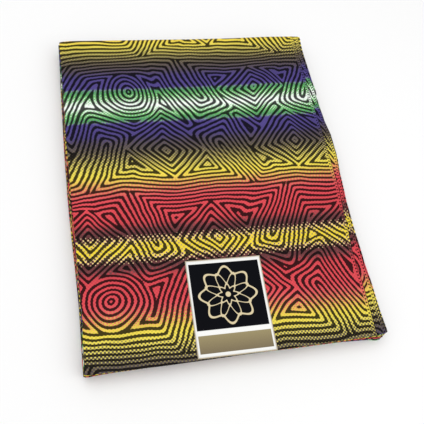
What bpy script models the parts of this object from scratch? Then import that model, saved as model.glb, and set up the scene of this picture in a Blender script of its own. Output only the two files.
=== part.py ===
"""Wax print fabric: one six-yard piece of printed cotton, folded for sale, with its paper label.

The cloth is folded in four across its width and then back and forth along its length, into a flat
slab of fourteen layers. Each layer here is one sheet that stands for the four thin plies pressed
together in it, so the whole cloth is one sheet, folded like a concertina.

Metres, +Z up. X runs across the slab and Y along it. The folds at -Y face the viewer, and the
printed upper side with the label faces up. The lowest layer lies flat on Z = 0, and the middle of
the slab's box is on the Z axis.
"""

import math
from collections import namedtuple

import bmesh
import bpy
from mathutils import Matrix, Vector

MM = 0.001

# The slab: its outline and its layers
SLAB_WIDTH = 301.0 * MM
SLAB_LENGTH = 379.5 * MM
LAYER_COUNT = 14
SHEET_THICKNESS = 1.0 * MM  # four plies of pressed cotton
LAYER_PITCH = 1.35 * MM  # from one layer to the next, so that they lie 0.35 mm apart
TURN_RADIUS = LAYER_PITCH / 2

# How unevenly it is folded
EDGE_BOW = 2.6 * MM  # the lowest layers' long edges bulge this much at the middle of the left side
EDGE_WAVE = 0.9 * MM  # the long edges wander to each side by this much
EDGE_WAVE_LENGTH = 150.0 * MM
CORNER_LENGTH = 9.0 * MM  # the ends of a fold draw back over this length
CORNER_DRAW = 2.0 * MM  # and this far at the corner itself
END_SWELL = 0.8 * MM  # the stack is this much higher at its folded ends than at its middle

# A row for each end of a layer, from the bottom up: the cloth's cut end, its thirteen folds and its
# other cut end. They lie at the back and the front in turn. All in millimetres, inwards from the
# slab's outline: the fold itself, the left and the right edge there, and how much further in the
# fold lies at its right than at its left.
End = namedtuple("End", "inset left right skew")
ENDS = (
    End(2.6, 2.4, 4.4, 0.8),
    End(0.6, 3.0, 2.6, 0.9),
    End(1.4, 2.2, 3.4, -0.6),
    End(1.3, 2.6, 1.6, 0.4),
    End(2.2, 3.2, 4.0, 0.5),
    End(0.2, 2.4, 2.2, 1.0),
    End(0.9, 2.8, 3.0, -0.4),
    End(1.6, 3.4, 1.2, 0.2),
    End(1.9, 2.6, 2.4, 0.7),
    End(0.5, 3.0, 1.8, 0.8),
    End(0.7, 2.4, 3.2, -0.5),
    End(1.2, 3.2, 1.0, 0.3),
    End(1.5, 3.6, 2.6, 0.4),
    End(0.9, 3.9, 1.4, 0.3),
    End(0.3, 3.6, 2.0, 0.2),
)

# The mesh: steps along a layer, round a fold and, as fractions of the width, across the cloth
RUN_STEPS = 9
TURN_STEPS = 5
ACROSS = (0.0, 0.01, 0.03, 0.15, 0.35, 0.55, 0.75, 0.88, 0.97, 0.99, 1.0)

# The paper label
LABEL_WIDTH = 77.0 * MM
LABEL_HEIGHT = 96.0 * MM
LABEL_THICKNESS = 0.4 * MM
LABEL_GAP = 0.35 * MM  # between the label and the cloth under it
LABEL_PLACE = Vector((-5.9 * MM, -139.0 * MM))  # its middle
LABEL_TURN = math.radians(-1.2)
LABEL_STEPS = 8

CLOTH_COLOUR = "9C7A46"
LABEL_COLOUR = "EDEBE4"


def linear_colour(code):
    """Turns an sRGB colour code into linear red, green, blue and alpha."""
    channels = [int(code[i : i + 2], 16) / 255 for i in (0, 2, 4)]
    linear = [c / 12.92 if c <= 0.04045 else ((c + 0.055) / 1.055) ** 2.4 for c in channels]
    return (*linear, 1.0)


def plain_material(name, code, roughness):
    """Makes a Principled BSDF material of one colour."""
    material = bpy.data.materials.new(name)
    material.use_nodes = True
    shader = material.node_tree.nodes["Principled BSDF"]
    shader.inputs["Base Color"].default_value = linear_colour(code)
    shader.inputs["Roughness"].default_value = roughness
    shader.inputs["Metallic"].default_value = 0.0
    material.diffuse_color = linear_colour(code)
    return material


def mix(first, second, share):
    """Blends two numbers."""
    return first + (second - first) * share


def swell(y):
    """The extra height of the whole stack at a place along it."""
    along = 2 * y / SLAB_LENGTH
    return END_SWELL * along**2


def layer_height(y, steps):
    """The height of a layer's middle. Steps count layers from the lowest and may be a fraction."""
    share = steps / (LAYER_COUNT - 1)
    return SHEET_THICKNESS / 2 + steps * LAYER_PITCH + share * swell(y)


def fold_line(end_number, across):
    """How far along Y a fold starts to turn, at a place across the cloth from 0 to 1."""
    end = ENDS[end_number]
    side = -1 if end_number % 2 else 1  # odd ends are the folds at the front
    from_corner = min(across, 1 - across) * SLAB_WIDTH
    draw = CORNER_DRAW * max(0.0, 1 - from_corner / CORNER_LENGTH) ** 2
    reach = SLAB_LENGTH / 2 - (end.inset + end.skew * across) * MM - draw
    return side * (reach - TURN_RADIUS - SHEET_THICKNESS / 2)


def long_edges(layer, along):
    """The left and right limits of a layer at a place along it, from 0 to 1."""
    first, last = ENDS[layer], ENDS[layer + 1]
    share_below = 1 - layer / (LAYER_COUNT - 1)
    bow = EDGE_BOW * share_below * (1 - (2 * along - 1) ** 2)
    turns = along * SLAB_LENGTH / EDGE_WAVE_LENGTH
    wave = EDGE_WAVE * math.sin(2 * math.pi * turns + layer) * math.sin(math.pi * along)
    left = -SLAB_WIDTH / 2 + mix(first.left, last.left, along) * MM - bow + 0.4 * wave
    right = SLAB_WIDTH / 2 - mix(first.right, last.right, along) * MM - wave
    return left, right


def path_rows():
    """The rows of the cloth from its lower cut end to its upper one.

    Each row has its layer, how far it is along that layer and how far round the fold after it,
    both from 0 to 1.
    """
    rows = []
    for layer in range(LAYER_COUNT):
        rows += [(layer, step / RUN_STEPS, 0.0) for step in range(RUN_STEPS + 1)]
        if layer < LAYER_COUNT - 1:
            rows += [(layer, 1.0, step / TURN_STEPS) for step in range(1, TURN_STEPS)]
    return rows


def folded_place(row, across):
    """Where a point of the cloth lies once it is folded."""
    layer, along, turned = row
    left, right = long_edges(layer, along)
    angle = math.pi * turned
    outwards = 1 if layer % 2 else -1  # the side that this layer's fold is on
    start, stop = fold_line(layer, across), fold_line(layer + 1, across)
    y = mix(start, stop, along) + outwards * TURN_RADIUS * math.sin(angle)
    steps = layer + (1 - math.cos(angle)) / 2
    return Vector((mix(left, right, across), y, layer_height(y, steps)))


def grid_object(name, x_steps, y_steps, collection):
    """Makes a flat grid and returns its object with each vertex's column and row."""
    mesh = bpy.data.meshes.new(name)
    bm = bmesh.new()
    bmesh.ops.create_grid(bm, x_segments=x_steps, y_segments=y_steps, size=0.5)
    cells = [(round((v.co.x + 0.5) * x_steps), round((v.co.y + 0.5) * y_steps)) for v in bm.verts]
    bm.to_mesh(mesh)
    bm.free()
    shape = bpy.data.objects.new(name, mesh)
    collection.objects.link(shape)
    return shape, cells


def thicken(shape, thickness, offset):
    """Gives an open sheet its thickness. Offset 0 grows it to both sides, 1 only outwards."""
    solidify = shape.modifiers.new("Thickness", "SOLIDIFY")
    solidify.thickness = thickness
    solidify.offset = offset
    solidify.use_even_offset = True


def make_cloth(collection):
    """The whole folded cloth as one sheet bent onto its back-and-forth path."""
    rows = path_rows()
    cloth, cells = grid_object("folded_cloth", len(ACROSS) - 1, len(rows) - 1, collection)
    for vertex, (column, row) in zip(cloth.data.vertices, cells):
        vertex.co = folded_place(rows[row], ACROSS[column])
    cloth.data.shade_smooth()
    thicken(cloth, SHEET_THICKNESS, 0)
    cloth.data.materials.append(plain_material("printed_cotton", CLOTH_COLOUR, 0.8))
    return cloth


def make_label(collection):
    """The paper label, which follows the swell of the cloth that it lies on."""
    label, cells = grid_object("paper_label", LABEL_STEPS, LABEL_STEPS, collection)
    turn = Matrix.Rotation(LABEL_TURN, 2)
    size = Vector((LABEL_WIDTH, LABEL_HEIGHT))
    for vertex, cell in zip(label.data.vertices, cells):
        flat = Vector([(step / LABEL_STEPS - 0.5) * side for step, side in zip(cell, size)])
        x, y = LABEL_PLACE + turn @ flat
        top = layer_height(y, LAYER_COUNT - 1) + SHEET_THICKNESS / 2
        vertex.co = (x, y, top + LABEL_GAP)
    thicken(label, LABEL_THICKNESS, 1)
    label.data.materials.append(plain_material("label_paper", LABEL_COLOUR, 0.5))
    return label


def centre_on_axis(shapes, guide):
    """Moves all shapes so that the middle of the guide shape's box is on the Z axis."""
    solid = guide.evaluated_get(bpy.context.evaluated_depsgraph_get())
    corners = [Vector(corner) for corner in solid.bound_box]
    middle = sum(corners, Vector()) / len(corners)
    for shape in shapes:
        shape.location = (-middle.x, -middle.y, 0)


def main():
    """Clears the scene and builds the cloth and its label."""
    for old in list(bpy.data.objects):
        bpy.data.objects.remove(old)
    collection = bpy.data.collections.new("wax_print_fabric")
    bpy.context.scene.collection.children.link(collection)
    cloth = make_cloth(collection)
    label = make_label(collection)
    centre_on_axis([cloth, label], cloth)


main()
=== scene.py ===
"""The looks of a folded wax print fabric: the printed cotton in thin plies, and its paper label.

The cloth is one sheet. It is doubled and doubled again across its width, which makes four plies,
and those four plies are folded back and forth along its length into a slab of fourteen layers.
The print is worked out from the cloth's own flat coordinates, so it runs on round every fold.

Metres, +Z up. X runs across the slab, Y along it, and the label lies on top near the front, at -Y.
"""

from __future__ import annotations

import logging
import math
from dataclasses import dataclass, field
from enum import Enum

import bmesh
import bpy
from mathutils import Matrix, Vector

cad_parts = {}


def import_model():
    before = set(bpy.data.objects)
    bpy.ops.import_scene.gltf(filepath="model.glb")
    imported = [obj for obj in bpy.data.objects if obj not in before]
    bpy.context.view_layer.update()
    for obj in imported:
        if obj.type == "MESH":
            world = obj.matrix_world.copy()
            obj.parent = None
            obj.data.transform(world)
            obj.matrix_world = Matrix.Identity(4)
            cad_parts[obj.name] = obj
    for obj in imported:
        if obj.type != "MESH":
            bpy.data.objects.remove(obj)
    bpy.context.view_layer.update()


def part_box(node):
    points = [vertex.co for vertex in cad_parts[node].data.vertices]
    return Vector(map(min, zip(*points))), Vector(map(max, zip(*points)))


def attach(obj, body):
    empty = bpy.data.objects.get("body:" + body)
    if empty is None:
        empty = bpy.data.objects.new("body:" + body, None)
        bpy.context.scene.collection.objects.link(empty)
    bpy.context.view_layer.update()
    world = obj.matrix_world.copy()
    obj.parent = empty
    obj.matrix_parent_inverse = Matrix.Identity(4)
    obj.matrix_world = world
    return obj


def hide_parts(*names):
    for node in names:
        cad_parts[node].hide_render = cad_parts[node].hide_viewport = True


MM = 0.001
log = logging.getLogger("wax_print_scene")

Tree = bpy.types.NodeTree
Socket = bpy.types.NodeSocket
Pair = tuple[float, float]
Table = tuple[Pair, ...]


def linear_colour(code: str) -> tuple[float, float, float, float]:
    """Turns an sRGB hex code into linear colour.

    Args:
        code: six hex digits, red, green and blue.

    Returns:
        Linear red, green and blue, with an alpha of 1.
    """
    channels = [int(code[i : i + 2], 16) / 255 for i in (0, 2, 4)]
    linear = [c / 12.92 if c <= 0.04045 else ((c + 0.055) / 1.055) ** 2.4 for c in channels]
    return (*linear, 1.0)


def mix(first: float, second: float, share: float) -> float:
    """Returns the blend of two numbers, which is the first one at a share of 0."""
    return first + (second - first) * share


def ease(value: float) -> float:
    """Returns a value limited to 0 to 1, with soft starts at both limits."""
    value = min(max(value, 0.0), 1.0)
    return value * value * (3 - 2 * value)


def add_node(tree: Tree, kind: str, inputs: dict | None = None, **settings) -> bpy.types.Node:
    """Adds a shader node with its settings, values and links.

    Args:
        tree: the node tree of the material.
        kind: the node's type name without "ShaderNode".
        inputs: socket name or number to a value, to the output socket that feeds it, or to the
            node whose first output does.
        **settings: the node's own properties.

    Returns:
        The new node.
    """
    node = tree.nodes.new("ShaderNode" + kind)
    for name, value in settings.items():
        setattr(node, name, value)
    for key, value in (inputs or {}).items():
        if isinstance(value, bpy.types.Node):
            value = value.outputs[0]
        if isinstance(value, Socket):
            tree.links.new(value, node.inputs[key])
        else:
            node.inputs[key].default_value = value
    return node


def new_material(name: str) -> tuple[bpy.types.Material, Tree, bpy.types.Node]:
    """Makes a material with only its Principled shader and output.

    Args:
        name: the material's name.

    Returns:
        The material, its node tree and its Principled BSDF node.
    """
    material = bpy.data.materials.new(name)
    material.use_nodes = True
    tree = material.node_tree
    return material, tree, tree.nodes["Principled BSDF"]


def flat_place(tree: Tree, uv_map: str) -> Socket:
    """Reads a piece's own flat coordinates.

    Args:
        tree: the material's node tree.
        uv_map: the UV map that holds them in metres.

    Returns:
        The coordinates in millimetres.
    """
    uv = add_node(tree, "UVMap", uv_map=uv_map)
    return add_node(tree, "VectorMath", {0: uv, "Scale": 1 / MM}, operation="SCALE").outputs[0]


def sine_grid(tree: Tree, flat: Socket, frequency: float) -> Socket:
    """Multiplies a sine wave across a piece by one along it, which makes a grid of bumps.

    Args:
        tree: the material's node tree.
        flat: the flat coordinates in millimetres.
        frequency: the waves' frequency in radians for each millimetre.

    Returns:
        A value from -1 to 1, highest in the middle of each bump.
    """
    sides = add_node(tree, "SeparateXYZ", {0: flat})
    waves = []
    for side in ("X", "Y"):
        phase = add_node(tree, "Math", {0: sides.outputs[side], 1: frequency}, operation="MULTIPLY")
        waves.append(add_node(tree, "Math", {0: phase}, operation="SINE"))
    return add_node(tree, "Math", {0: waves[0], 1: waves[1]}, operation="MULTIPLY").outputs[0]


def unevenness(
    tree: Tree, flat: Socket, size: float, limits: Pair, detail: float, roughness: float = 0.5
) -> tuple[Socket, Socket]:
    """Makes the faint unevenness of cloth or paper.

    Args:
        tree: the material's node tree.
        flat: the flat coordinates in millimetres.
        size: the size of its largest patches in millimetres.
        limits: the values between which it is spread.
        detail: how often it is repeated at half the size.
        roughness: how strong each repeat is, over the one before.

    Returns:
        The plain noise, and the noise spread between the limits.
    """
    pattern = {"Vector": flat, "Scale": 1 / size, "Detail": detail, "Roughness": roughness}
    noise = add_node(tree, "TexNoise", pattern, noise_dimensions="2D").outputs[0]
    # The noise seldom leaves 0.3 to 0.7
    ends = {"From Min": 0.3, "From Max": 0.7, "To Min": limits[0], "To Max": limits[1]}
    return noise, add_node(tree, "MapRange", {"Value": noise, **ends}).outputs["Result"]


def link_object(name: str, data: bpy.types.ID) -> bpy.types.Object:
    """Puts a new object into the scene.

    Args:
        name: the object's name.
        data: its mesh, lamp or camera.

    Returns:
        The object.
    """
    placed = bpy.data.objects.new(name, data)
    bpy.context.scene.collection.objects.link(placed)
    return placed


def link_mesh(name: str, bm: bmesh.types.BMesh, thickness: float = 0.0) -> bpy.types.Object:
    """Turns a finished bmesh into an object in the scene.

    Args:
        name: the name of the object and of its mesh.
        bm: the bmesh, which is freed.
        thickness: the thickness that a sheet gets, half of it on each side.

    Returns:
        The object.
    """
    mesh = bpy.data.meshes.new(name)
    bm.normal_update()
    bm.to_mesh(mesh)
    bm.free()
    placed = link_object(name, mesh)
    if thickness:
        wall = placed.modifiers.new("Thickness", "SOLIDIFY")
        wall.thickness = thickness
        wall.offset = 0
    return placed


@dataclass(frozen=True)
class Motif:
    """One bar of the print, about which its lines are nested. A bar without a size is a dot.

    Lengths are in line pitches, so that the lines about two bars meet evenly. The middle is
    measured from the first selvage and, along the cloth, from the middle of the white band. The
    tilt is in degrees, and the rounding says how round the corners of the lines are.
    """

    across: float
    along: float
    half_width: float = 0.0
    half_height: float = 0.0
    tilt: float = 0.0
    rounding: float = 1.1


@dataclass(frozen=True)
class WaxPrint:
    """Plain-weave cotton with a roller print in bands of colour under nested dark lines.

    The cloth is crisp and matt, with the faint gloss that the wax finish leaves. Where two bands
    meet, one colour breaks up into fine dots on the other. All lengths are in millimetres.
    """

    cloth_width: float
    line_pitch: float = 5.06
    line_share: float = 0.52
    line_softness: float = 0.04  # in line pitches, as are the next three
    line_beading: float = 0.05  # how far the fine dots bite into a line
    join_rounding: float = 0.9
    repeat: Pair = (58.0, 68.0)  # across and along
    wander: Table = ((60.0, 12.0), (14.0, 1.6))  # wave length and reach
    ink: str = "050305"
    ink_cover: float = 0.94
    # In most bands, and in the dotted yellow one. The real ones are 1.7 mm apart in most bands,
    # too fine to show
    dot_pitches: Pair = (2.5, 3.2)
    dot_tone: float = 0.16  # how much lighter the fine dots are, all over the cloth
    coarse_dots_from: float = 146.0
    selvage: float = 4.4  # the width of the margin at both edges
    # The thin dark line along both edges of the cloth is painted shadow, this wide
    edge_shadow_width: float = 0.5
    pin_pitch: float = 3.6
    pin_radius: float = 0.95
    pin_blur: float = 0.25
    pin_strip: float = 2.8  # no lines are printed over this width, about the pins' dots
    patch_size: float = 28.0  # the dye is a little uneven, in soft patches
    patch_tone: Pair = (0.93, 1.06)
    thread_pitch: float = 1.5  # real threads are 0.35 mm apart, too fine to show
    slub_size: float = 3.0
    slub_height: float = 1.6  # over the threads' own
    relief: float = 0.03  # the threads' height in the bump
    relief_strength: float = 0.8
    roughness: Pair = (0.62, 0.76)
    specular_level: float = 0.08
    motifs: tuple[Motif, ...] = (
        # Orange: a bar right across. Above it and below it, leaning stems and squares on their
        # points take turns
        Motif(29, 21.5, 29),
        Motif(50.5, 15.5, 0, 6, 24, 2),
        Motif(36, 11.5, 1.5, 1.5, 45, 0.8),
        Motif(21.5, 15.5, 0, 6, -24, 2),
        Motif(7, 11.5, 1.5, 1.5, 45, 0.8),
        Motif(54, 31.5, 1.5, 1.5, 45, 0.8),
        Motif(43, 27.5, 0, 6, -24, 2),
        Motif(28.5, 32.5, 1.5, 1.5, 45, 0.8),
        Motif(14, 27.5, 0, 6, 24, 2),
        # Dark band: another bar, with leaning stems, and between them dots and squares
        Motif(29, 55.5, 29),
        Motif(50.5, 44.5),
        Motif(36, 49.5, 0, 6, 24, 2),
        Motif(21.5, 44.5, 1.5, 1.5, 45, 0.8),
        Motif(7, 49.5, 0, 6, -24, 2),
        Motif(57.5, 61.5, 0, 6, 24, 2),
        Motif(43, 64.5),
        Motif(28.5, 61.5, 0, 6, -24, 2),
        Motif(14, 64.5, 1.5, 1.5, 45, 0.8),
    )
    # From the middle of the white band to the middle of the dotted yellow one: the distance, the
    # colour, and how far the fine dots carry the colours there
    bands: tuple[tuple[float, str, float], ...] = (
        (0.0, "FAFCFA", 8.0),
        (6.2, "EAF6EA", 9.0),
        (10.6, "56BC4C", 11.0),
        (20.6, "3CA03A", 8.0),
        (21.6, "C6D4C6", 5.0),
        (22.8, "52468A", 1.5),
        (40.0, "4E447E", 2.0),
        (48.0, "544A52", 8.0),
        (61.0, "62584A", 13.0),
        (70.0, "80744E", 14.0),
        (77.0, "D2C468", 14.0),
        (86.0, "ECDA4E", 8.0),
        (93.0, "F0D84E", 8.0),
        (98.5, "E8B464", 12.0),
        (104.5, "DC7A5C", 12.0),
        (111.5, "E25C60", 9.0),
        (119.0, "DE4C54", 2.0),
        (143.0, "D64850", 3.0),
        (150.4, "784245", 5.0),
        (160.2, "543031", 6.0),
        (163.5, "ECCC9C", 6.0),
        (166.9, "EED43A", 8.0),
        (172.04, "EED43A", 11.0),
    )

    def wandering(self, tree: Tree, flat: Socket) -> Socket:
        """Moves the print's coordinates a little, as a hand-drawn line wanders.

        Args:
            tree: the material's node tree.
            flat: the flat coordinates in millimetres.

        Returns:
            The moved coordinates.
        """
        for wave_length, reach in self.wander:
            waves = {"Vector": flat, "Scale": 1 / wave_length, "Detail": 0.0}
            noise = add_node(tree, "TexNoise", waves, noise_dimensions="2D").outputs["Color"]
            step = {0: noise, 1: (reach, reach, 0.0), 2: flat}
            moved = add_node(tree, "VectorMath", step, operation="MULTIPLY_ADD")
            # The noise's mean is a half, so half of the reach comes off again
            centred = {0: moved, 1: (reach / 2, reach / 2, 0.0)}
            flat = add_node(tree, "VectorMath", centred, operation="SUBTRACT").outputs[0]
        return flat

    def distance(self, tree: Tree, flat: Socket) -> Socket:
        """Works out how far each point of the cloth is from the nearest motif.

        Args:
            tree: the material's node tree.
            flat: the flat coordinates in millimetres.

        Returns:
            The distance in line pitches.
        """
        half = (self.repeat[0] / 2, self.repeat[1] / 2, 1.0)
        limits = {1: half, 2: tuple(-h for h in half)}
        place = add_node(tree, "VectorMath", {0: flat, "Scale": 1 / self.line_pitch}, operation="SCALE")
        nearest = sum(self.repeat)  # further than any motif
        for motif in self.motifs:
            centre = (motif.across, motif.along, 0.0)
            off = add_node(tree, "VectorMath", {0: place, 1: centre}, operation="SUBTRACT")
            wrapped = add_node(tree, "VectorMath", {0: off, **limits}, operation="WRAP")
            if not motif.half_width + motif.half_height:
                reach = add_node(tree, "VectorMath", {0: wrapped}, operation="LENGTH").outputs["Value"]
            else:
                tilt = {"Vector": wrapped, "Angle": math.radians(motif.tilt)}
                turned = add_node(tree, "VectorRotate", tilt, rotation_type="Z_AXIS")
                size = add_node(tree, "VectorMath", {0: turned}, operation="ABSOLUTE")
                bar = (motif.half_width, motif.half_height, 0.0)
                past = add_node(tree, "VectorMath", {0: size, 1: bar}, operation="SUBTRACT")
                sides = add_node(tree, "SeparateXYZ", {0: past})
                corner = {0: sides.outputs["X"], 1: sides.outputs["Y"], 2: motif.rounding}
                reach = add_node(tree, "Math", corner, operation="SMOOTH_MAX")
            join = {0: nearest, 1: reach, 2: self.join_rounding}
            nearest = add_node(tree, "Math", join, operation="SMOOTH_MIN").outputs[0]
        return nearest

    @property
    def longest_reach(self) -> float:
        """The longest way that the fine dots carry a colour."""
        return max(reach for _, _, reach in self.bands)

    def band_ramp(self, tree: Tree, away: Socket) -> bpy.types.Node:
        """Makes the ramp of the bands.

        Args:
            tree: the material's node tree.
            away: the distance from the middle of the white band in millimetres.

        Returns:
            The ramp. Its colour is the band's, and its alpha is the dots' reach over the longest.
        """
        last = self.bands[-1][0]
        place = add_node(tree, "Math", {0: away, 1: last}, operation="DIVIDE")
        ramp = add_node(tree, "ValToRGB", {"Fac": place})
        stops = ramp.color_ramp.elements
        while len(stops) < len(self.bands):
            stops.new(1.0)
        for stop, (distance, code, reach) in zip(stops, self.bands):
            stop.position = distance / last
            stop.color = (*linear_colour(code)[:3], reach / self.longest_reach)
        return ramp

    def band_colour(self, tree: Tree, flat: Socket) -> tuple[Socket, Socket]:
        """Colours the cloth in bands along its length, which meet in dots.

        Args:
            tree: the material's node tree.
            flat: the flat coordinates in millimetres.

        Returns:
            The band's colour, and the dots' value from -1 to 1.
        """
        sides = add_node(tree, "SeparateXYZ", {0: flat})
        away = add_node(tree, "Math", {0: sides.outputs["Y"], 1: self.bands[-1][0]}, operation="PINGPONG")
        near_last = add_node(tree, "Math", {0: away, 1: self.coarse_dots_from}, operation="GREATER_THAN")
        # The rows of dots run at a slant, so each sine wave is longer than their pitch
        slanting = math.pi * math.sqrt(2)
        fine, coarse = (sine_grid(tree, flat, slanting / pitch) for pitch in self.dot_pitches)
        dots = add_node(tree, "Mix", {"Factor": near_last, 2: fine, 3: coarse}).outputs[0]
        share = self.band_ramp(tree, away.outputs[0]).outputs["Alpha"]
        reach = add_node(tree, "Math", {0: share, 1: self.longest_reach}, operation="MULTIPLY")
        shifted = add_node(tree, "Math", {0: dots, 1: reach, 2: away}, operation="MULTIPLY_ADD")
        return self.band_ramp(tree, shifted.outputs[0]).outputs["Color"], dots

    def line_mask(self, tree: Tree, distance: Socket, dots: Socket) -> Socket:
        """Draws dark lines at even steps of the distance from the motifs.

        Args:
            tree: the material's node tree.
            distance: the distance from the nearest motif in line pitches.
            dots: the dots' value, which beads the lines' edges.

        Returns:
            A value of 1 on a line and 0 between lines.
        """
        away = add_node(tree, "Math", {0: distance, 1: 0.5}, operation="PINGPONG")
        bead = {0: dots, 1: -self.line_beading, 2: away}
        beaded = add_node(tree, "Math", bead, operation="MULTIPLY_ADD")
        edge, soft = 0.5 - self.line_share / 2, self.line_softness
        limits = {"Value": beaded, "From Min": edge - soft, "From Max": edge + soft}
        return add_node(tree, "MapRange", limits, interpolation_type="SMOOTHSTEP").outputs["Result"]

    def selvage_marks_and_edge_shadow(self, tree: Tree, flat: Socket, lines: Socket) -> Socket:
        """Adds the row of dark dots along both selvages, and a thin painted shadow line along both edges.

        Args:
            tree: the material's node tree.
            flat: the flat coordinates in millimetres.
            lines: a value of 1 on the print's lines and 0 elsewhere.

        Returns:
            A value of 1 on a line, a dot or the painted edge shadow, and 0 elsewhere.
        """
        sides = add_node(tree, "SeparateXYZ", {0: flat})
        # The distance from the nearer selvage
        across = {0: sides.outputs["X"], 1: self.cloth_width / 2}
        edge = add_node(tree, "Math", across, operation="PINGPONG")
        off = add_node(tree, "Math", {0: edge, 1: self.selvage / 2}, operation="SUBTRACT")
        spacing = {0: sides.outputs["Y"], 1: self.pin_pitch / 2, 2: -self.pin_pitch / 2}
        along = add_node(tree, "Math", spacing, operation="WRAP")
        place = add_node(tree, "CombineXYZ", {"X": off, "Y": along})
        reach = add_node(tree, "VectorMath", {0: place}, operation="LENGTH")
        limits = {"From Min": self.pin_radius + self.pin_blur, "From Max": self.pin_radius - self.pin_blur}
        pins = add_node(tree, "MapRange", {"Value": reach.outputs["Value"], **limits})
        # A thin dark line at each edge, in the ink's colour: painted shadow, as if cast by the edge
        # standing off the ply under it
        rim = add_node(tree, "Math", {0: edge, 1: self.edge_shadow_width}, operation="LESS_THAN")
        marks = add_node(tree, "Math", {0: pins, 1: rim}, operation="MAXIMUM")
        beside = add_node(tree, "Math", {0: off}, operation="ABSOLUTE")
        printed = add_node(tree, "Math", {0: beside, 1: self.pin_strip / 2}, operation="GREATER_THAN")
        kept = add_node(tree, "Math", {0: lines, 1: printed}, operation="MULTIPLY")
        return add_node(tree, "Math", {0: kept, 1: marks}, operation="MAXIMUM").outputs[0]

    def material(self) -> bpy.types.Material:
        """Builds the printed cotton's material.

        Returns:
            The material, which reads the cloth's own flat coordinates.
        """
        material, tree, shader = new_material("roller_printed_cotton")
        flat = flat_place(tree, "Cloth")
        colour, dots = self.band_colour(tree, flat)
        drawn = self.wandering(tree, flat)
        lines = self.line_mask(tree, self.distance(tree, drawn), dots)
        marks = self.selvage_marks_and_edge_shadow(tree, flat, lines)
        covered = {"Factor": self.ink_cover, 6: colour, 7: linear_colour(self.ink)}
        ink = add_node(tree, "Mix", covered, data_type="RGBA").outputs[2]
        printed = add_node(tree, "Mix", {"Factor": marks, 6: colour, 7: ink}, data_type="RGBA").outputs[2]
        _, tone = unevenness(tree, flat, self.patch_size, self.patch_tone, detail=4.0, roughness=0.6)
        dotted = add_node(tree, "Math", {0: dots, 1: self.dot_tone, 2: tone}, operation="MULTIPLY_ADD")
        dyed = add_node(tree, "VectorMath", {0: printed, "Scale": dotted}, operation="SCALE")
        tree.links.new(dyed.outputs[0], shader.inputs["Base Color"])
        self.add_weave(tree, flat, shader)
        return material

    def add_weave(self, tree: Tree, flat: Socket, shader: bpy.types.Node) -> None:
        """Gives the cloth its thread relief and its uneven gloss.

        Args:
            tree: the material's node tree.
            flat: the flat coordinates in millimetres.
            shader: the Principled BSDF node.
        """
        weave = sine_grid(tree, flat, 2 * math.pi / self.thread_pitch)
        slubs, gloss = unevenness(tree, flat, self.slub_size, self.roughness, detail=2.0)
        height = add_node(tree, "Math", {0: slubs, 1: self.slub_height, 2: weave}, operation="MULTIPLY_ADD")
        bump = {"Height": height, "Distance": self.relief * MM, "Strength": self.relief_strength}
        tree.links.new(add_node(tree, "Bump", bump).outputs[0], shader.inputs["Normal"])
        tree.links.new(gloss, shader.inputs["Roughness"])
        shader.inputs["Specular IOR Level"].default_value = self.specular_level


@dataclass(frozen=True)
class LayerEnd:
    """One end of a layer, in millimetres inwards from the slab's outline.

    The inset is that of the fold itself. Left and right are where the long edges lie there, and
    the skew is how much further in the fold lies at its right than at its left.
    """

    inset: float
    left: float
    right: float
    skew: float


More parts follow.
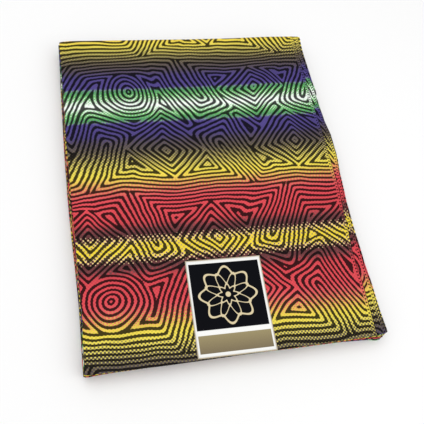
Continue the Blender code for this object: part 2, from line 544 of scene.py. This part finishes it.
@dataclass(frozen=True)
class Fold:
    """The path that the slab's layers follow, from the lowest one up."""

    width: float = 301.0 * MM
    length: float = 379.5 * MM
    layers: int = 14
    sheet: float = 1.0 * MM
    pitch: float = 1.35 * MM
    edge_bow: float = 2.6 * MM
    edge_wave: float = 0.9 * MM
    edge_wave_length: float = 150.0 * MM
    left_wave_share: float = 0.4  # the left long edges wave less than the right ones
    corner_length: float = 9.0 * MM
    corner_draw: float = 2.0 * MM
    end_swell: float = 0.8 * MM
    ends: tuple[LayerEnd, ...] = (
        LayerEnd(2.6, 2.4, 4.4, 0.8),
        LayerEnd(0.6, 3.0, 2.6, 0.9),
        LayerEnd(1.4, 2.2, 3.4, -0.6),
        LayerEnd(1.3, 2.6, 1.6, 0.4),
        LayerEnd(2.2, 3.2, 4.0, 0.5),
        LayerEnd(0.2, 2.4, 2.2, 1.0),
        LayerEnd(0.9, 2.8, 3.0, -0.4),
        LayerEnd(1.6, 3.4, 1.2, 0.2),
        LayerEnd(1.9, 2.6, 2.4, 0.7),
        LayerEnd(0.5, 3.0, 1.8, 0.8),
        LayerEnd(0.7, 2.4, 3.2, -0.5),
        LayerEnd(1.2, 3.2, 1.0, 0.3),
        LayerEnd(1.5, 3.6, 2.6, 0.4),
        LayerEnd(0.9, 3.9, 1.4, 0.3),
        LayerEnd(0.3, 3.6, 2.0, 0.2),
    )

    # How the pressed slab's outline wanders, in millimetres outwards, each as places from 0 to 1
    # and amounts: its long edges from the front to the back, its back folds from left to right,
    # and its lowest and its highest front fold from left to right
    left_drift: Table = (
        (0.0, -0.5), (0.06, -0.8), (0.14, -2.0), (0.27, -1.8), (0.4, -0.7), (0.5, 0.0), (1.0, 0.0),
    )
    right_drift: Table = (
        (0.0, -0.6), (0.06, -1.7), (0.13, -1.8), (0.2, -3.4), (0.3, -4.1), (0.38, -2.9),
        (0.46, -0.3), (0.54, 2.1), (0.61, 1.4), (0.67, -1.6), (0.73, -2.4), (0.78, -0.7),
        (0.82, -1.5), (0.95, -2.8), (1.0, -1.6),
    )
    back_drift: Table = ((0.0, -1.2), (0.06, 0.0), (0.48, 0.4), (0.64, 1.0), (0.86, 2.9), (1.0, 3.0))
    low_drift: Table = (
        (0.0, -0.4), (0.08, -2.2), (0.3, -2.7), (0.44, -3.2), (0.56, -1.6), (0.72, -0.3),
        (0.9, 0.4), (1.0, 4.6),
    )
    high_drift: Table = ((0.0, 0.8), (0.3, 2.0), (0.7, 2.0), (1.0, 1.2))

    @staticmethod
    def drift(table: Table, place: float) -> float:
        """Reads how far the slab's outline wanders at a place.

        Args:
            table: places from 0 to 1 with their amounts in millimetres.
            place: the place.

        Returns:
            The amount in metres.
        """
        for (start, first), (stop, last) in zip(table, table[1:]):
            if place <= stop:
                return mix(first, last, ease((place - start) / (stop - start))) * MM
        return table[-1][1] * MM

    @property
    def turn(self) -> float:
        """The radius of a fold at the middle of its plies."""
        return self.pitch / 2

    def height(self, y: float, steps: float) -> float:
        """Finds the height of the middle of a layer.

        Args:
            y: the place along the slab.
            steps: the number of layers below, which may be a fraction.

        Returns:
            The height above the surface that the slab lies on.
        """
        share = steps / (self.layers - 1)
        swell = self.end_swell * (2 * y / self.length) ** 2
        return self.sheet / 2 + steps * self.pitch + share * swell

    def fold_line(self, end_number: int, across: float) -> float:
        """Finds where a fold starts to turn.

        Args:
            end_number: the number of the layer's end, from the bottom. Odd ones are at the front.
            across: the place across the slab, from 0 to 1.

        Returns:
            The place along the slab.
        """
        end = self.ends[end_number]
        side = -1 if end_number % 2 else 1
        from_corner = min(across, 1 - across) * self.width
        draw = self.corner_draw * max(0.0, 1 - from_corner / self.corner_length) ** 2
        reach = self.length / 2 - (end.inset + end.skew * across) * MM - draw
        if side > 0:
            reach += self.drift(self.back_drift, across)
        else:
            low, high = self.drift(self.low_drift, across), self.drift(self.high_drift, across)
            reach += mix(low, high, end_number / (self.layers - 1))
        return side * (reach - self.turn - self.sheet / 2)

    def long_edges(self, layer: int, along: float) -> Pair:
        """Finds the left and right limits of a layer.

        Args:
            layer: the number of the layer, from the bottom.
            along: how far along the layer, from 0 to 1.

        Returns:
            The limits across the slab.
        """
        first, last = self.ends[layer], self.ends[layer + 1]
        share_below = 1 - layer / (self.layers - 1)
        bow = self.edge_bow * share_below * (1 - (2 * along - 1) ** 2)
        turns = along * self.length / self.edge_wave_length
        wave = self.edge_wave * math.sin(2 * math.pi * turns + layer) * math.sin(math.pi * along)
        left = -self.width / 2 + mix(first.left, last.left, along) * MM - bow + self.left_wave_share * wave
        right = self.width / 2 - mix(first.right, last.right, along) * MM - wave
        from_front = along if layer % 2 else 1 - along
        left -= self.drift(self.left_drift, from_front)
        right += self.drift(self.right_drift, from_front)
        return left, right


class Ply(Enum):
    """The four plies in the order in which the cloth runs through them, from edge to edge.

    Each value is the ply's place in its layer, counted in plies from the layer's middle towards
    the side that faces up on the top layer.
    """

    TOP = 1.5
    BOTTOM = -1.5
    LOWER = -0.5
    UPPER = 0.5


@dataclass(frozen=True)
class Column:
    """One line along the cloth: its ply, how far along that ply and how far round the next fold."""

    ply: Ply
    along: float
    turned: float
    density: float  # its share of the picture that the finish is kept in, for each metre


@dataclass(frozen=True)
class Row:
    """One line across the cloth: its layer, how far along it and how far round the next fold."""

    layer: int
    along: float
    turned: float
    density: float


@dataclass(frozen=True)
class Crease:
    """A soft trough or ridge in the top layer, in millimetres and degrees."""

    x: float
    y: float
    turn: float
    half_length: float
    half_width: float
    rise: float


@dataclass
class FoldedCloth:
    """The whole cloth as one thin sheet, with all of its plies."""

    fold: Fold
    name: str = "wax_print_cloth"
    centre_x: float = 0.49 * MM
    cloth_width: float = 1160.0 * MM
    ply_pitch: float = 0.25 * MM
    ply_thickness: float = 0.18 * MM
    inner_fold_inset: float = 1.1 * MM
    fold_bulge: float = 1.25  # over the radius of the fold between two plies
    # How far in from its layer's right limit each selvage lies, and how far it wanders, in
    # millimetres
    first_selvage: Pair = (4.2, 1.4)
    second_selvage: Pair = (1.3, 0.5)
    # The free edge of the top ply stands off a little, in waves along it
    edge_lift: float = 0.55 * MM
    edge_lift_share: float = 0.05  # of the ply's width
    edge_lift_least: float = 0.1  # over the highest, between two waves
    edge_lift_waves: float = 3.3
    edge_lift_phase: float = 0.2
    edge_lift_run: float = 1 / 12  # it is none where the layer starts, and full after this share
    white_band_y: float = 96.5 * MM  # the middle of the white band on the upper side
    # The bands fan out a little towards the front, about a line this far from the first selvage,
    # and the second selvage's side of the cloth lies further back
    print_fan: float = 0.104  # per metre across and per metre along
    fan_pivot: float = 200.0 * MM
    far_side_shift: float = 7.0 * MM
    # How far in from the slab's right side the top ply ends, in millimetres, from front to back
    top_selvage: Table = (
        (0.0, 14.0), (0.12, 13.4), (0.22, 14.6), (0.33, 12.0), (0.44, 9.2), (0.58, 9.6),
        (0.8, 11.6), (1.0, 12.8),
    )
    creases: tuple[Crease, ...] = (
        Crease(-60, 60, 12, 90, 22, 0.35),
        Crease(70, -20, -8, 80, 26, 0.3),
        Crease(-95, -90, 70, 70, 20, 0.3),
        Crease(95, 120, 80, 60, 18, 0.35),
        Crease(10, 150, 5, 100, 18, 0.25),
        Crease(104, -120, 84, 60, 12, 0.35),
    )
    # Even steps across a ply, and the finer ones near its two sides, as shares of its width
    top_ply: tuple[int, tuple[float, ...]] = (24, (0.0014, 0.005, 0.012, 0.025, 0.04))
    hidden_ply: tuple[int, tuple[float, ...]] = (8, (0.0014, 0.012, 0.04))
    layer_end_steps: tuple[float, ...] = (0.001, 0.008, 0.03)  # the same near a layer's two ends
    side_fold_steps: int = 6
    end_fold_steps: int = 8
    seen_share: float = 0.045  # of a hidden ply's width, which shows at the right side
    hidden_density: float = 0.07
    # Even steps along a layer, with their density: the top one, the one below, the lowest and
    # the others
    top_layer: tuple[int, float] = (40, 1.0)
    second_layer: tuple[int, float] = (28, 0.02)
    lowest_layer: tuple[int, float] = (14, 0.25)
    other_layers: tuple[int, float] = (14, 0.02)
    picture_margin: float = 0.002
    rows: list[Row] = field(default_factory=list)
    columns: list[Column] = field(default_factory=list)

    def __post_init__(self) -> None:
        """Works out the lines along and across the cloth."""
        self.columns = self.make_columns()
        self.rows = self.make_rows()

    @staticmethod
    def steps(count: int, edge_steps: tuple[float, ...], fold_steps: int) -> list[Pair]:
        """Divides a length into even steps, with finer ones at both ends, and the fold after it.

        Args:
            count: the number of even steps.
            edge_steps: the finer places near an end, as shares of the length.
            fold_steps: the number of steps round the fold, or 0 where none follows.

        Returns:
            Each place along the length and round the fold, both from 0 to 1.
        """
        last = max(edge_steps)
        inner = [mix(last, 1 - last, number / count) for number in range(count + 1)]
        places = sorted({0.0, 1.0, *edge_steps, *(1 - e for e in edge_steps), *inner})
        return [(p, 0.0) for p in places] + [(1.0, step / fold_steps) for step in range(1, fold_steps)]

    def make_columns(self) -> list[Column]:
        """Lays out the lines along the cloth.

        Returns:
            The lines, from one selvage to the other.
        """
        columns = []
        for ply in Ply:
            count, edges = self.top_ply if ply is Ply.TOP else self.hidden_ply
            fold_steps = 0 if ply is Ply.UPPER else self.side_fold_steps
            for along, turned in self.steps(count, edges, fold_steps):
                from_right = along if ply in (Ply.TOP, Ply.LOWER) else 1 - along
                shows = turned or ply is Ply.TOP or from_right < self.seen_share
                columns.append(Column(ply, along, turned, 1.0 if shows else self.hidden_density))
        return columns

    def make_rows(self) -> list[Row]:
        """Lays out the lines across the cloth.

        Returns:
            The lines, from the lower cut end to the upper one.
        """
        top = self.fold.layers - 1
        plan = {top: self.top_layer, top - 1: self.second_layer, 0: self.lowest_layer}
        rows = []
        for layer in range(self.fold.layers):
            count, density = plan.get(layer, self.other_layers)
            fold_steps = self.end_fold_steps if layer < top else 0
            for along, turned in self.steps(count, self.layer_end_steps, fold_steps):
                rows.append(Row(layer, along, turned, 1.0 if turned else density))
        return rows

    def ply_limits(self, layer: int, along: float, ply: Ply) -> Pair:
        """Finds where a ply starts and stops across the slab, in the order that the cloth runs.

        Args:
            layer: the number of the layer, from the bottom.
            along: how far along the layer, from 0 to 1.
            ply: which of its four plies.

        Returns:
            The places across the slab where the ply starts and stops.
        """
        left, right = self.fold.long_edges(layer, along)
        inner_left = left + self.inner_fold_inset
        # A smooth value from -2 to 2 that differs from layer to layer
        loose = math.sin(2.1 * layer + 5.0 * along) + math.sin(3.7 * layer + 11.0 * along)
        insets = (self.first_selvage, self.second_selvage)
        selvage, other_selvage = (right - (inset + wander * loose) * MM for inset, wander in insets)
        if layer == self.fold.layers - 1:
            selvage = self.fold.width / 2 - self.fold.drift(self.top_selvage, along)
        elif layer == self.fold.layers - 2:
            joined = self.fold.width / 2 - self.fold.drift(self.top_selvage, 0.0)
            selvage = mix(selvage, joined, ease(along))
        return {
            Ply.TOP: (selvage, left),
            Ply.BOTTOM: (left, right),
            Ply.LOWER: (right, inner_left),
            Ply.UPPER: (inner_left, other_selvage),
        }[ply]

    def across_place(self, row: Row, column: Column) -> Pair:
        """Finds a point's place across the slab and its height in its layer.

        Args:
            row: the line across the cloth.
            column: the line along the cloth.

        Returns:
            The place across the slab, and the height above the middle of the layer's plies.
        """
        start, stop = self.ply_limits(row.layer, row.along, column.ply)
        if not column.turned:
            return mix(start, stop, column.along), column.ply.value * self.ply_pitch
        plies = list(Ply)
        following = plies[plies.index(column.ply) + 1]
        angle = math.pi * column.turned
        middle = (column.ply.value + following.value) / 2
        radius = (column.ply.value - following.value) / 2 * self.ply_pitch
        outwards = 1 if stop > start else -1
        bulge = outwards * abs(radius) * self.fold_bulge * math.sin(angle)
        return stop + bulge, middle * self.ply_pitch + radius * math.cos(angle)

    def ripple(self, x: float, y: float) -> float:
        """Finds how far the top layer is lifted by its creases.

        Args:
            x: the place across the slab.
            y: the place along the slab.

        Returns:
            The extra height.
        """
        height = 0.0
        for crease in self.creases:
            turn = math.radians(crease.turn)
            across, along = x / MM - crease.x, y / MM - crease.y
            length = (across * math.cos(turn) + along * math.sin(turn)) / crease.half_length
            width = (along * math.cos(turn) - across * math.sin(turn)) / crease.half_width
            height += crease.rise * math.exp(-(length**2) - width**2)
        return height * MM

    def place(self, row: Row, column: Column) -> Vector:
        """Finds where a point of the cloth lies once it is folded.

        Args:
            row: the line across the cloth.
            column: the line along the cloth.

        Returns:
            The point.
        """
        x, rise = self.across_place(row, column)
        across = min(max(x / self.fold.width + 0.5, 0.0), 1.0)
        start = self.fold.fold_line(row.layer, across)
        stop = self.fold.fold_line(row.layer + 1, across)
        at_front = row.layer % 2 == 0
        outwards = -1 if at_front else 1
        angle = math.pi * row.turned
        y = mix(start, stop, row.along) + outwards * self.fold.turn * math.sin(angle)
        steps = row.layer + (1 - math.cos(angle)) / 2
        z = self.fold.height(y, steps)
        facing_up = -math.cos(angle) if at_front else math.cos(angle)
        point = Vector((x, y - rise * math.sin(angle), z + rise * facing_up))
        topmost = ease(steps - (self.fold.layers - 2))
        point.z += topmost * self.ripple(x, y)
        if column.ply is Ply.TOP and row.layer == self.fold.layers - 1:
            point.z += self.selvage_lift(column.along, row.along)
        point.x += self.centre_x
        return point

    def selvage_lift(self, from_selvage: float, along: float) -> float:
        """Finds how far the free edge of the top ply stands off the ply under it.

        Args:
            from_selvage: the place across the ply, which is 0 at its free edge.
            along: the place along the layer, from 0 to 1.

        Returns:
            The extra height.
        """
        near = max(0.0, 1 - from_selvage / self.edge_lift_share) ** 2
        turns = self.edge_lift_waves * along + self.edge_lift_phase
        wave = mix(self.edge_lift_least, 1.0, (1 + math.sin(2 * math.pi * turns)) / 2)
        return self.edge_lift * near * wave * ease(along / self.edge_lift_run)

    def flat_lengths(self) -> tuple[list[float], list[float]]:
        """Measures the cloth's flat coordinates.

        Returns:
            Each column's distance from the first selvage, and each row's distance from the middle
            of the white band on the upper side, towards the front, both in metres.
        """
        top = self.fold.layers - 1
        middle = Row(top, 0.5, 0.0, 1.0)
        places = [self.across_place(middle, column) for column in self.columns]
        across = [0.0]
        for (x0, h0), (x1, h1) in zip(places, places[1:]):
            across.append(across[-1] + math.hypot(x1 - x0, h1 - h0))
        across = [value * self.cloth_width / across[-1] for value in across]
        measured = self.columns[len(self.columns) // 8]  # a third of the way across the top ply
        points = [self.place(row, measured) for row in self.rows]
        along = [0.0]
        for first, second in zip(points, points[1:]):
            along.append(along[-1] + math.hypot(second.y - first.y, second.z - first.z))
        start = along[-1] - (points[-1].y - self.white_band_y)
        return across, [start - value for value in along]

    def print_place(self, across: float, along: float) -> float:
        """Finds the print's own place along the cloth, as the print runs a little askew.

        Args:
            across: the distance from the first selvage.
            along: the distance from the middle of the white band on the upper side.

        Returns:
            The place along the print.
        """
        on_top = min(along, self.fold.length / 2 + self.white_band_y)
        fan = self.print_fan * (min(across, self.fold.width) - self.fan_pivot) * on_top
        return along + fan + self.far_side_shift * (across / self.cloth_width) ** 2

    def spread(self, lengths: list[float], lines: list[Column] | list[Row]) -> list[float]:
        """Spreads lines over a picture from 0 to 1, the denser stretches over more of it.

        Args:
            lengths: the flat place of each line.
            lines: the lines.

        Returns:
            The place of each line in the picture.
        """
        places = [0.0]
        for number in range(1, len(lengths)):
            density = min(lines[number - 1].density, lines[number].density)
            places.append(places[-1] + abs(lengths[number] - lengths[number - 1]) * density)
        return [mix(self.picture_margin, 1 - self.picture_margin, place / places[-1]) for place in places]

    def build(self) -> bpy.types.Object:
        """Builds the folded cloth.

        Returns:
            The cloth's object, with its flat coordinates as a UV map.
        """
        bm = bmesh.new()
        x_steps, y_steps = len(self.columns) - 1, len(self.rows) - 1
        bmesh.ops.create_grid(bm, x_segments=x_steps, y_segments=y_steps, size=0.5)
        cells = {
            vertex: (round((vertex.co.x + 0.5) * x_steps), round((vertex.co.y + 0.5) * y_steps))
            for vertex in bm.verts
        }
        across, along = self.flat_lengths()
        picture_across, picture_along = self.spread(across, self.columns), self.spread(along, self.rows)
        flat_map = bm.loops.layers.uv.new("Cloth")
        picture_map = bm.loops.layers.uv.new("OFBake")
        for face in bm.faces:
            for loop in face.loops:
                column, row = cells[loop.vert]
                loop[flat_map].uv = (across[column], self.print_place(across[column], along[row]))
                loop[picture_map].uv = (picture_across[column], picture_along[row])
            face.smooth = True
        for vertex, (column, row) in cells.items():
            vertex.co = self.place(self.rows[row], self.columns[column])
        cloth = link_mesh(self.name, bm, self.ply_thickness)
        cloth.modifiers["Thickness"].use_even_offset = True
        return cloth

    def upper_side(self, x: float, y: float) -> float:
        """Finds the height of the cloth's upper side.

        Args:
            x: the place across the slab.
            y: the place along the slab.

        Returns:
            The height of the upper side of the top ply.
        """
        top = self.fold.height(y, self.fold.layers - 1) + self.ripple(x - self.centre_x, y)
        return top + Ply.TOP.value * self.ply_pitch + self.ply_thickness / 2

    @property
    def flat_size(self) -> Pair:
        """The width and length of the cloth when it is laid out flat."""
        across, along = self.flat_lengths()
        return across[-1] - across[0], along[0] - along[-1]


@dataclass(frozen=True)
class Outline:
    """One wavy ring of the label's ornament, in millimetres."""

    radius: float
    depth: float
    lobes: int
    phase: float
    stroke: float


@dataclass(frozen=True)
class LabelPaper:
    """Coated paper with a matt black panel, and an ornament and a strip in gold ink.

    The gold is a pale ink with a soft gloss, not a metal. All lengths are in millimetres, from
    the label's middle.
    """

    panel_centre: Pair = (-0.2, 10.8)
    panel_half: Pair = (35.6, 33.3)
    strip_centre: Pair = (0.1, -35.8)
    strip_half: Pair = (35.7, 8.5)
    outlines: tuple[Outline, ...] = (
        Outline(25.5, 0.13, 8, 0.0, 2.3),
        Outline(17.0, 0.34, 8, math.pi, 2.2),
        Outline(8.6, 0.22, 8, 0.0, 1.9),
        Outline(1.3, 0.0, 8, 0.0, 2.6),
    )
    white_half: Pair = (37.5, 47.25)  # a thin tan line runs round the white, out to the label's edge
    rim: str = "D0C2A8"
    paper: str = "F8F8F5"
    black: str = "0C0D12"
    ornament: str = "DECFA8"
    strip: tuple[str, str] = ("80735A", "9F926C")  # at its lower and its upper side: the upper side is lighter by a painted sheen
    print_blur: float = 0.15
    grain_size: float = 0.9
    grain_tone: Pair = (0.96, 1.03)
    relief: float = 0.01  # the grain's height in the bump
    relief_strength: float = 0.5
    roughness: float = 0.6
    specular_level: float = 0.03

    def inside(self, tree: Tree, place: Socket, centre: Pair, half: Pair) -> Socket:
        """Marks a rectangle.

        Args:
            tree: the material's node tree.
            place: the place on the label in millimetres.
            centre: the rectangle's middle.
            half: half of its width and height.

        Returns:
            A value of 1 inside the rectangle and 0 outside.
        """
        off = add_node(tree, "VectorMath", {0: place, 1: (*centre, 0.0)}, operation="SUBTRACT")
        size = add_node(tree, "VectorMath", {0: off}, operation="ABSOLUTE")
        past = add_node(tree, "VectorMath", {0: size, 1: (*half, 0.0)}, operation="SUBTRACT")
        sides = add_node(tree, "SeparateXYZ", {0: past})
        reach = add_node(tree, "Math", {0: sides.outputs["X"], 1: sides.outputs["Y"]}, operation="MAXIMUM")
        limits = {"Value": reach, "From Min": self.print_blur, "From Max": -self.print_blur}
        return add_node(tree, "MapRange", limits).outputs["Result"]

    def rosette(self, tree: Tree, place: Socket) -> Socket:
        """Marks the lines of the ornament, which are wavy rings about the panel's middle.

        Args:
            tree: the material's node tree.
            place: the place on the label in millimetres.

        Returns:
            A value of 1 on a line and 0 elsewhere.
        """
        off = add_node(tree, "VectorMath", {0: place, 1: (*self.panel_centre, 0.0)}, operation="SUBTRACT")
        reach = add_node(tree, "VectorMath", {0: off}, operation="LENGTH").outputs["Value"]
        sides = add_node(tree, "SeparateXYZ", {0: off})
        angle = add_node(tree, "Math", {0: sides.outputs["Y"], 1: sides.outputs["X"]}, operation="ARCTAN2")
        marked = 0.0
        for ring in self.outlines:
            lobes = {0: angle, 1: float(ring.lobes), 2: ring.phase}
            turned = add_node(tree, "Math", lobes, operation="MULTIPLY_ADD")
            wave = add_node(tree, "Math", {0: turned}, operation="COSINE")
            swing = {0: wave, 1: ring.radius * ring.depth, 2: ring.radius}
            radius = add_node(tree, "Math", swing, operation="MULTIPLY_ADD")
            away = add_node(tree, "Math", {0: reach, 1: radius}, operation="SUBTRACT")
            size = add_node(tree, "Math", {0: away}, operation="ABSOLUTE")
            edge, blur = ring.stroke / 2, self.print_blur
            limits = {"Value": size, "From Min": edge + blur, "From Max": edge - blur}
            line = add_node(tree, "MapRange", limits)
            marked = add_node(tree, "Math", {0: marked, 1: line}, operation="MAXIMUM").outputs[0]
        return marked

    def material(self) -> bpy.types.Material:
        """Builds the label's material.

        Returns:
            The material, which reads the label's own flat coordinates.
        """
        material, tree, shader = new_material("coated_label_paper")
        place = flat_place(tree, "Label")
        grain, tone = unevenness(tree, place, self.grain_size, self.grain_tone, detail=3.0)
        centre, half = self.strip_centre[1], self.strip_half[1]
        sides = add_node(tree, "SeparateXYZ", {0: place})
        # The strip grows lighter towards its upper side: a painted sheen on the gold ink
        limits = {"Value": sides.outputs["Y"], "From Min": centre - half, "From Max": centre + half}
        painted_sheen_share = add_node(tree, "MapRange", limits)
        low, high = (linear_colour(code) for code in self.strip)
        strip = add_node(tree, "Mix", {"Factor": painted_sheen_share, 6: low, 7: high}, data_type="RGBA").outputs[2]
        colour = linear_colour(self.rim)
        marks = (
            (self.inside(tree, place, (0.0, 0.0), self.white_half), linear_colour(self.paper)),
            (self.inside(tree, place, self.panel_centre, self.panel_half), linear_colour(self.black)),
            (self.inside(tree, place, self.strip_centre, self.strip_half), strip),
            (self.rosette(tree, place), linear_colour(self.ornament)),
        )
        for mark, ink in marks:
            colour = add_node(tree, "Mix", {"Factor": mark, 6: colour, 7: ink}, data_type="RGBA").outputs[2]
        shade = add_node(tree, "VectorMath", {0: colour, "Scale": tone}, operation="SCALE")
        bump = {"Height": grain, "Distance": self.relief * MM, "Strength": self.relief_strength}
        tree.links.new(shade.outputs[0], shader.inputs["Base Color"])
        tree.links.new(add_node(tree, "Bump", bump).outputs[0], shader.inputs["Normal"])
        shader.inputs["Roughness"].default_value = self.roughness
        shader.inputs["Specular IOR Level"].default_value = self.specular_level
        return material


@dataclass
class PaperLabel:
    """The paper label that lies on the top ply, with its corners a little raised."""

    cloth: FoldedCloth
    name: str = "printed_paper_label"
    width: float = 77.0 * MM
    height: float = 96.5 * MM
    thickness: float = 0.15 * MM
    gap: float = 0.04 * MM
    middle: Pair = (-4.8 * MM, -141.9 * MM)
    turn: float = -1.2  # degrees
    corner_lift: float = 0.5 * MM
    corner_sharpness: int = 6
    steps: tuple[int, int] = (20, 24)

    def build(self) -> bpy.types.Object:
        """Builds the label.

        Returns:
            The label's object, with its flat coordinates as a UV map.
        """
        bm = bmesh.new()
        bmesh.ops.create_grid(bm, x_segments=self.steps[0], y_segments=self.steps[1], size=0.5)
        flat_map = bm.loops.layers.uv.new("Label")
        for face in bm.faces:
            for loop in face.loops:
                loop[flat_map].uv = (loop.vert.co.x * self.width, loop.vert.co.y * self.height)
            face.smooth = True
        turn = Matrix.Rotation(math.radians(self.turn), 2)
        for vertex in bm.verts:
            flat = Vector((vertex.co.x * self.width, vertex.co.y * self.height))
            corner = (abs(2 * vertex.co.x) * abs(2 * vertex.co.y)) ** self.corner_sharpness
            x, y = Vector(self.middle) + turn @ flat
            lift = self.gap + self.thickness / 2 + corner * self.corner_lift
            vertex.co = (x, y, self.cloth.upper_side(x, y) + lift)
        return link_mesh(self.name, bm, self.thickness)


@dataclass(frozen=True)
class Lamp:
    """One soft square lamp, which faces the slab."""

    name: str
    place: tuple[float, float, float]
    size: float
    power: float


@dataclass
class Studio:
    """The plain pale floor, the soft light and the camera."""

    floor_size: float = 6.0
    floor_colour: str = "FDFDFD"
    floor_roughness: float = 0.9
    lens: float = 48.4
    # The camera stands here, with these directions to its right and upwards
    camera_place: tuple[float, float, float] = (-0.1372, -0.2817, 0.5440)
    camera_right: tuple[float, float, float] = (0.9718, -0.1661, 0.1673)
    camera_up: tuple[float, float, float] = (0.0798, 0.8990, 0.4306)
    lamps: tuple[Lamp, ...] = (
        Lamp("high_lamp", (-0.25, 0.15, 1.5), 1.5, 10.0),
        Lamp("side_lamp", (0.9, -0.7, 1.3), 1.3, 6.0),
    )
    sky_strength: float = 0.58

    def build_floor(self) -> bpy.types.Object:
        """Builds the floor.

        Returns:
            The floor's object.
        """
        bm = bmesh.new()
        bmesh.ops.create_grid(bm, x_segments=1, y_segments=1, size=self.floor_size / 2)
        floor = link_mesh("pale_floor", bm)
        # Uncoated backdrop paper off a roll: quite matt, so the lamps leave no highlight on it
        material, _, shader = new_material("matt_backdrop_paper")
        shader.inputs["Base Color"].default_value = linear_colour(self.floor_colour)
        shader.inputs["Roughness"].default_value = self.floor_roughness
        floor.data.materials.append(material)
        return floor

    def build_camera(self) -> None:
        """Places the camera at the photograph's viewing angle."""
        data = bpy.data.cameras.new("view")
        data.lens = self.lens
        data.clip_start = 10 * MM
        camera = link_object("view", data)
        right = Vector(self.camera_right).normalized()
        up = Vector(self.camera_up)
        up = (up - up.dot(right) * right).normalized()
        axes = Matrix((right, up, right.cross(up))).transposed()
        camera.matrix_world = Matrix.Translation(self.camera_place) @ axes.to_4x4()
        bpy.context.scene.camera = camera

    def build_light(self) -> None:
        """Places the lamps and the even light from all round."""
        for lamp in self.lamps:
            data = bpy.data.lights.new(lamp.name, "AREA")
            data.size = lamp.size
            data.energy = lamp.power
            shape = link_object(lamp.name, data)
            shape.location = lamp.place
            shape.rotation_euler = (-Vector(lamp.place)).to_track_quat("-Z", "Y").to_euler()
        world = bpy.data.worlds.new("even_light")
        bpy.context.scene.world = world
        world.use_nodes = True
        sky = world.node_tree.nodes["Background"]
        sky.inputs["Color"].default_value = linear_colour("FFFFFF")
        sky.inputs["Strength"].default_value = self.sky_strength
        bpy.context.scene.view_settings.view_transform = "Standard"

    def build(self) -> None:
        """Builds the floor, the light and the camera."""
        self.build_floor()
        self.build_light()
        self.build_camera()


def main() -> None:
    """Builds the cloth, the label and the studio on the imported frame."""
    logging.basicConfig(level=logging.INFO, format="%(name)s: %(message)s")
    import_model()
    Studio().build()

    low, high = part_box("folded_cloth")
    cloth = FoldedCloth(Fold())
    sheet = cloth.build()
    sheet.data.materials.append(WaxPrint(cloth.cloth_width / MM).material())
    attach(sheet, "root")
    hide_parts("folded_cloth")
    height = (high.z - low.z) / MM
    log.info("%s is %.2f by %.2f m when flat, in a box %.1f mm high", sheet.name, *cloth.flat_size, height)

    label = PaperLabel(cloth).build()
    label.data.materials.append(LabelPaper().material())
    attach(label, "root")
    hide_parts("paper_label")
    cloth.flat_size
    log.info("%s lies on the top ply", label.name)


if __name__ == "__main__":
    main()
